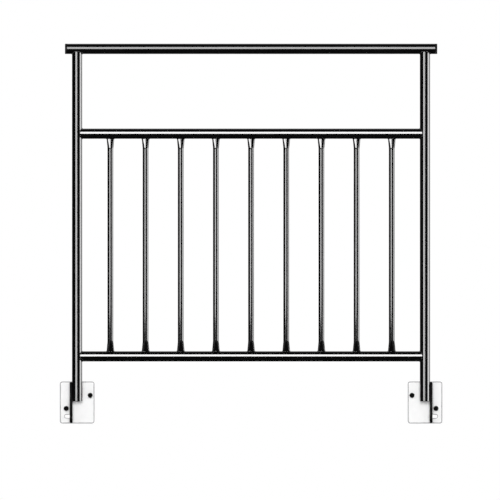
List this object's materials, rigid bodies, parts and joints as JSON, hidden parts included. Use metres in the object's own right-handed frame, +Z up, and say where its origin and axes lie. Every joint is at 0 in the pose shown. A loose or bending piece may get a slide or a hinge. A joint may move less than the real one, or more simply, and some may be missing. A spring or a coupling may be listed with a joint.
{
  "type": "deck railing section",
  "caption": "Welded guard rail section of round steel tube: two posts, three rails, upright balusters with pinched ends, and a mounting plate with a side rib at the foot of each post.",
  "frame": {"origin": "centre of the left mounting plate's flat back face, straight behind the axis of the left post", "axes": "+X along the rails towards the right post as seen from the free side, +Y out of the plates' back faces towards the deck edge that carries them, +Z up along the posts"},
  "size_m": [1.2426, 0.0634, 1.234],
  "materials": {
    "black_paint": "gloss",
    "black_plastic": "satin",
    "plated_steel": "satin",
    "black_screw": "satin"
  },
  "bodies": {
    "root": {"top_rail": "black_paint", "mid_rail": "black_paint", "bottom_rail": "black_paint", "left_post": "black_paint", "right_post": "black_paint", "baluster_1": "black_paint", "baluster_2": "black_paint", "baluster_3": "black_paint", "baluster_4": "black_paint", "baluster_5": "black_paint", "baluster_6": "black_paint", "baluster_7": "black_paint", "baluster_8": "black_paint", "baluster_9": "black_paint", "left_rail_plug": "black_plastic", "right_rail_plug": "black_plastic", "left_mounting_plate": "plated_steel", "right_mounting_plate": "plated_steel", "left_rib": "black_paint", "right_rib": "black_paint", "left_upper_screw": "black_screw", "left_lower_screw": "black_screw", "right_upper_screw": "black_screw", "right_lower_screw": "black_screw"}
  },
  "joints": []
}
